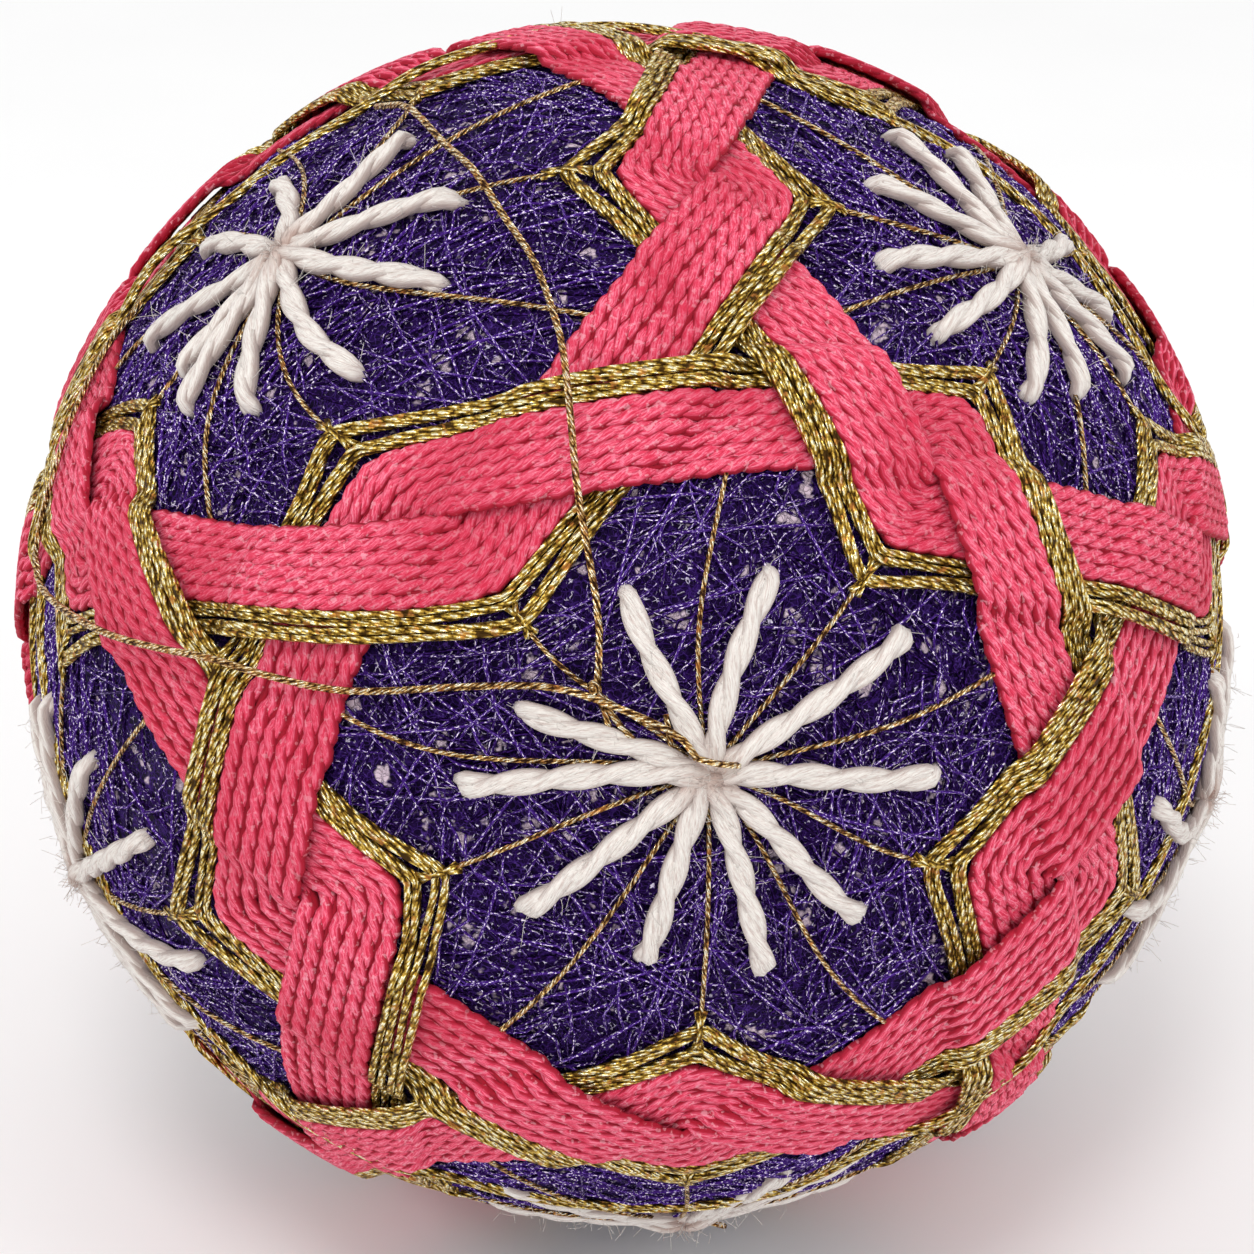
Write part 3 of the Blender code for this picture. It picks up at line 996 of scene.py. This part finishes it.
def make_cord(name, rows, node):
    route = route_through(rows, THREAD_POINTS)
    threads = Threads()
    threads.add(route, THREAD_DIAMETER / 2, THREAD_DIAMETER / 2, ROUND_6)
    piece = threads.make(name, GUIDE, "gold_braid", (node,))
    path = to_frame(settle(route))
    tuple(path[0])


make_cord("gold_thread_upper", UPPER_THREAD, "loose_thread_upper")
make_cord("gold_thread_left", LEFT_THREAD, "loose_thread_left")


# Pink rows and their gold borders


def any_phase():
    return rng.uniform(0, 2 * math.pi)


def any_start():
    return rng.uniform(0, PATTERN_SHIFT)


def pink_rows(code):
    rows = Threads()
    low, high = PINK_EDGES
    gap = (high - low) / PINK_ROWS
    for row, rounding in enumerate(PINK_ROUNDING):
        side = low + (row + 0.5) * gap
        points, lift = ring_path(code, side, rounding, PINK_STEP, wavers=True)
        level = PINK_LEVEL + ROW_LIFT * lift + rng.uniform(-0.02, 0.02)
        path = uneven(points) * level[:, None]
        plies = twisted(path, PINK_PLY_SPREAD, PINK_PITCH, any_phase(), closed=True)
        rows.add(plies, *PINK_PLY_HALF, ROUND_5, closed=True, start=any_start())
    # Dark fill threads under the gaps between rows, as painted shade
    for row in range(1, PINK_ROWS):
        points, lift = ring_path(code, low + row * gap, PINK_BED_ROUNDING, PINK_BED_STEP)
        level = PINK_BED_LEVEL + ROW_LIFT * lift
        path = uneven(points) * level[:, None]
        rows.add(path, *PINK_BED_HALF, ROUND_3, closed=True, marks=1.0)
    return rows


def gold_border(code):
    braid = Threads()
    for side, flare in zip(GOLD_LINES, GOLD_FLARE):
        points, lift = ring_path(code, side, GOLD_ROUNDING, GOLD_STEP, flare, wavers=True)
        level = GOLD_LEVEL + ROW_LIFT * lift + rng.uniform(-0.04, 0.04)
        thick = GOLD_HALF * rng.uniform(*GOLD_THICKNESS, len(points))
        path = uneven(points) * level[:, None]
        braid.add(path, thick, thick, ROUND_5, closed=True, start=any_start())
    return braid


for code, ending, _, _ in CENTRES:
    pink_rows(code).make(f"pink_rows_{ending}", PINK, "pink_cotton", (f"band_{ending}",))
    gold_border(code).make(f"gold_border_{ending}", GOLD, "gold_braid", (f"edging_{ending}",))


# White stars


def star_rays(code):
    return HAND_RAYS.get(code, [(RAY_TURN * (ray + 0.5), PLAIN_REACH) for ray in range(RAYS)])


def star_line(code, turn_deg, polar_deg, shift=0.0):
    """Points of a line from a star's centre; shift is sideways, in millimetres."""
    centre = CENTRE[code]
    ahead = CENTRE[NEIGHBOURS[code][0]]
    along = unit(ahead - (ahead @ centre) * centre)
    across = np.cross(along, centre)
    turn, polar = math.radians(turn_deg), np.radians(polar_deg)
    heading = math.cos(turn) * along + math.sin(turn) * across
    square = math.cos(turn) * across - math.sin(turn) * along
    points = np.cos(polar)[:, None] * centre + np.sin(polar)[:, None] * heading
    return unit(points + square * np.broadcast_to(shift, polar.shape)[:, None] / NOMINAL_RADIUS)


def star_path(code, line, height):
    points = uneven(line) * (NOMINAL_RADIUS + height)[:, None]
    return points - unit(points) * DRAWN_IN.get(code, 0.0)


def ray_path(code, turn, reach):
    """A ray's middle line, and how far each of its points is from its two ends."""
    start = rng.uniform(*RAY_START)
    polar = np.arange(start, reach, RAY_STEP)
    along = (polar - start) * math.radians(1) * NOMINAL_RADIUS
    to_end = along[-1] - along
    bend = rng.uniform(-RAY_BEND, RAY_BEND) * np.sin(along / along[-1] * math.pi)
    heap = 0.5 * fade(along, 2.4) * rng.uniform(0.2, 1.5)
    dip = fade(to_end, 0.5) + 0.3 * fade(along, 0.5)
    line = star_line(code, turn, polar, bend)
    return star_path(code, line, RAY_HEIGHT + heap - dip), along, to_end


def hub_stitches(code):
    """Short turns of the white thread across a star's middle."""
    for turn in rng.uniform(0, 360, HUB_STITCHES):
        polar = np.linspace(-HUB_REACH, HUB_REACH, 9)
        line = star_line(code, turn, polar, rng.uniform(-HUB_SHIFT, HUB_SHIFT))
        height = HUB_HEIGHT + HUB_RISE * np.cos(polar / HUB_REACH * math.pi / 2)
        yield star_path(code, line, height)


def hairs(near, spread):
    """Loose fibres that stand off a thread, each rooted near one of the points given."""
    count = HAIRS_PER_THREAD
    roots = near[rng.integers(0, len(near), count)] + rng.normal(0.0, HAIR_SCATTER, (count, 3))
    ways = unit(unit(rng.standard_normal((count, 3))) + unit(roots) * HAIR_OUTWARD)
    bends = rng.normal(0.0, HAIR_BEND, (count, 3))
    run = np.linspace(0, 1, 3)[:, None]
    reach = rng.uniform(*HAIR_LENGTH, count)[:, None, None]
    curves = ways[:, None] * run + bends[:, None] * run**2
    return (roots + ways * spread)[:, None] + curves * reach


fuzz = Threads()
for code, ending, _, _ in CENTRES:
    star = Threads()
    for turn, reach in star_rays(code):
        path, along, to_end = ray_path(code, turn, reach)
        # Darker towards the star's middle and the ray's tip
        darkened = np.clip(0.7 * fade(along, 1.4) + 0.35 * fade(to_end, 0.35), 0, 1)
        narrow = np.clip(0.7 + to_end / 1.2, 0, 1) * np.clip(0.75 + along / 2.0, 0, 1)
        wide, high = (half * narrow for half in RAY_PLY_HALF)
        plies = twisted(path, RAY_PLY_SPREAD, RAY_PITCH, any_phase(), closed=False)
        star.add(plies, wide, high, ROUND_6, marks=darkened)
        fuzz.add(hairs(path, RAY_HAIR_SPREAD), HAIR_HALF, HAIR_HALF, ROUND_3)
    for path in hub_stitches(code):
        plies = twisted(path, HUB_PLY_SPREAD, HUB_PITCH, any_phase(), closed=False)
        # The stitches across the middle are darker by a random amount, and their fibres by a fixed
        # one
        star.add(plies, *HUB_PLY_HALF, ROUND_6, marks=rng.uniform(0.2, 0.7))
        fuzz.add(hairs(path, HUB_HAIR_SPREAD), HAIR_HALF, HAIR_HALF, ROUND_3, marks=0.6)
    star.make(f"white_star_{ending}", WHITE, "white_cotton", (f"star_{ending}",))
fuzz.make("star_fuzz", WHITE, "white_cotton")


# Guide lines, the short stitches that tie down the corners, and loose ends

guides = Threads()
for code in CENTRE:
    for number in range(RAYS):
        reach = GUIDE_REACHES[number % 2]
        polar = np.linspace(GUIDE_START, reach, int(reach / GUIDE_STEP))
        bend = rng.uniform(-GUIDE_BEND, GUIDE_BEND) * np.sin(polar / reach * math.pi)
        line = star_line(code, RAY_TURN * number, polar, bend)
        path = uneven(line) * (NOMINAL_RADIUS + GUIDE_HEIGHT)
        guides.add(path, GUIDE_HALF, GUIDE_HALF, ROUND_5)
guides.make("guide_lines", GUIDE, "gold_braid")

stitches = Threads()
for code in CENTRE:
    for number in range(5):
        for shift in STITCH_SHIFTS:
            polar = np.linspace(*STITCH_SPAN, 7)
            bow = np.sin(np.linspace(0, math.pi, 7))
            aside = shift * (1 - bow) + rng.uniform(-0.1, 0.1)
            line = star_line(code, 2 * RAY_TURN * number, polar, aside)
            level = GOLD_LEVEL - 0.1 + STITCH_RISE * bow + rng.uniform(-0.05, 0.05)
            path = uneven(line) * level[:, None]
            stitches.add(path, FINE_GOLD_HALF, FINE_GOLD_HALF, ROUND_5)
stitches.make("corner_stitches", GOLD, "gold_braid")

bits = Threads()
for rows in LOOSE_BITS:
    path = route_through(rows, len(rows) * 4)
    bits.add(path, FINE_GOLD_HALF, FINE_GOLD_HALF, ROUND_5)
bits.make("gold_knots", GUIDE, "gold_braid")


def round_thread():
    """The gold thread round the ball.

    It climbs onto the bands that it crosses, and sinks into them where they are lifted.
    """
    ways = [direction(*row) for row in ROUND_THREAD]
    extra, steps = 3, 16
    wrapped = ways[-extra:] + ways + ways[:extra]
    path = smooth_route(wrapped, (len(wrapped) - 1) * steps + 1)
    path = unit(path[extra * steps : (extra + len(ways)) * steps])
    path = unit(soften(path, 8))
    over = soften((~uncovered(even(path))).astype(float)[:, None], 3)[:, 0]
    threads = Threads()
    for shift in ROUND_THREAD_SHIFTS:
        height = ROUND_THREAD_HEIGHT + ROUND_THREAD_CLIMB * over + 0.1 * shift
        moved = path + sideways(path) * shift / NOMINAL_RADIUS
        threads.add(
            moved * (NOMINAL_RADIUS + height)[:, None],
            ROUND_THREAD_HALF, ROUND_THREAD_HALF, ROUND_5, closed=True, start=any_start(),
        )
    threads.make("gold_round_thread", GOLD, "gold_braid")


round_thread()


# Ground


def ground_ball():
    mesh = bmesh.new()
    bmesh.ops.create_icosphere(mesh, subdivisions=5, radius=GROUND_RADIUS)
    points = settle(np.array([vert.co for vert in mesh.verts]))
    for vert, point in zip(mesh.verts, to_frame(points)):
        vert.co = point
    data = bpy.data.meshes.new("winding_ball")
    mesh.to_mesh(data)
    mesh.free()
    data.shade_smooth()
    finish_piece("winding_ball", data, VIOLET_BASE, ("core",))


def winding(count, length, knots, curl, half, lowest, highest):
    """Runs of the winding thread in every direction. Those mostly under bands are left out."""
    starts = unit(rng.standard_normal((count * 4, 3)))
    ways = unit(np.cross(starts, rng.standard_normal(starts.shape)))
    square = np.cross(starts, ways)
    step = length / (knots - 1) / NOMINAL_RADIUS
    turn = np.cumsum(rng.normal(0.0, curl, (len(starts), knots)), axis=1)
    x = np.cumsum(np.cos(turn), axis=1) * step
    y = np.cumsum(np.sin(turn), axis=1) * step
    x, y = x - x.mean(1, keepdims=True), y - y.mean(1, keepdims=True)
    lines = unit(starts[:, None] + x[..., None] * ways[:, None] + y[..., None] * square[:, None])
    clear = uncovered(lines.reshape(-1, 3)).reshape(lines.shape[:2])
    lines = lines[clear.sum(1) >= knots * 0.5][:count]
    depth = rng.uniform(0, 1, len(lines))
    # Painted shade by depth: the lower runs are darker, with some random spread
    depth_shading = np.clip(depth + rng.normal(0, 0.25, len(lines)), 0.02, 1)
    level = (lowest + (highest - lowest) * depth)[:, None]
    level = level + rng.uniform(-0.06, 0.06, (len(lines), knots))
    level[:, 0] -= END_DIP
    level[:, -1] -= END_DIP
    threads = Threads()
    threads.add(uneven(lines) * level[..., None], half, half * 0.8, ROUND_3, marks=depth_shading[:, None])
    return threads


ground_ball()
for name, *settings in WINDINGS:
    winding(*settings).make(name, VIOLET, "violet_winding")


# Floor and light

# Half the floor's width is in metres
FLOOR_HALF = 3.0
WORLD_STRENGTH = 0.95
LIGHTS = (
    # name, azimuth, elevation, metres away, metres across, watts
    ("key", -100, 62, 0.7, 0.20, 1.2),
    ("left", -155, 40, 0.7, 0.15, 0.45),
    ("right", -35, 35, 0.7, 0.15, 0.45),
    ("low", -85, 8, 0.8, 0.15, 0.35),
)


def floor():
    data = bpy.data.meshes.new("floor")
    half = FLOOR_HALF
    corners = [(-half, -half, 0), (half, -half, 0), (half, half, 0), (-half, half, 0)]
    data.from_pydata(corners, [], [(0, 1, 2, 3)])
    nodes = Nodes("floor")
    grain = nodes.noise(nodes.place(0.02))
    colour = nodes.mix(grain, *FLOOR_GREYS)
    data.materials.append(nodes.finish(colour, 0.9, specular=0.1))
    made = in_scene("floor", data)


def area_light(name, azimuth, elevation, distance, size, power):
    data = bpy.data.lights.new(name, "AREA")
    data.shape = "DISK"
    data.size = size
    data.energy = power
    made = in_scene(name, data)
    centre = Vector(BALL_CENTRE)
    made.location = centre + distance * Vector(direction(azimuth, elevation))
    aim(made, centre)


def world():
    made = bpy.data.worlds.new("studio")
    made.use_nodes = True
    shade = made.node_tree.nodes["Background"]
    shade.inputs["Color"].default_value = (1.0, 1.0, 1.0, 1.0)
    shade.inputs["Strength"].default_value = WORLD_STRENGTH
    bpy.context.scene.world = made


floor()
for light in LIGHTS:
    area_light(*light)
world()
bpy.context.scene.view_settings.view_transform = "Standard"
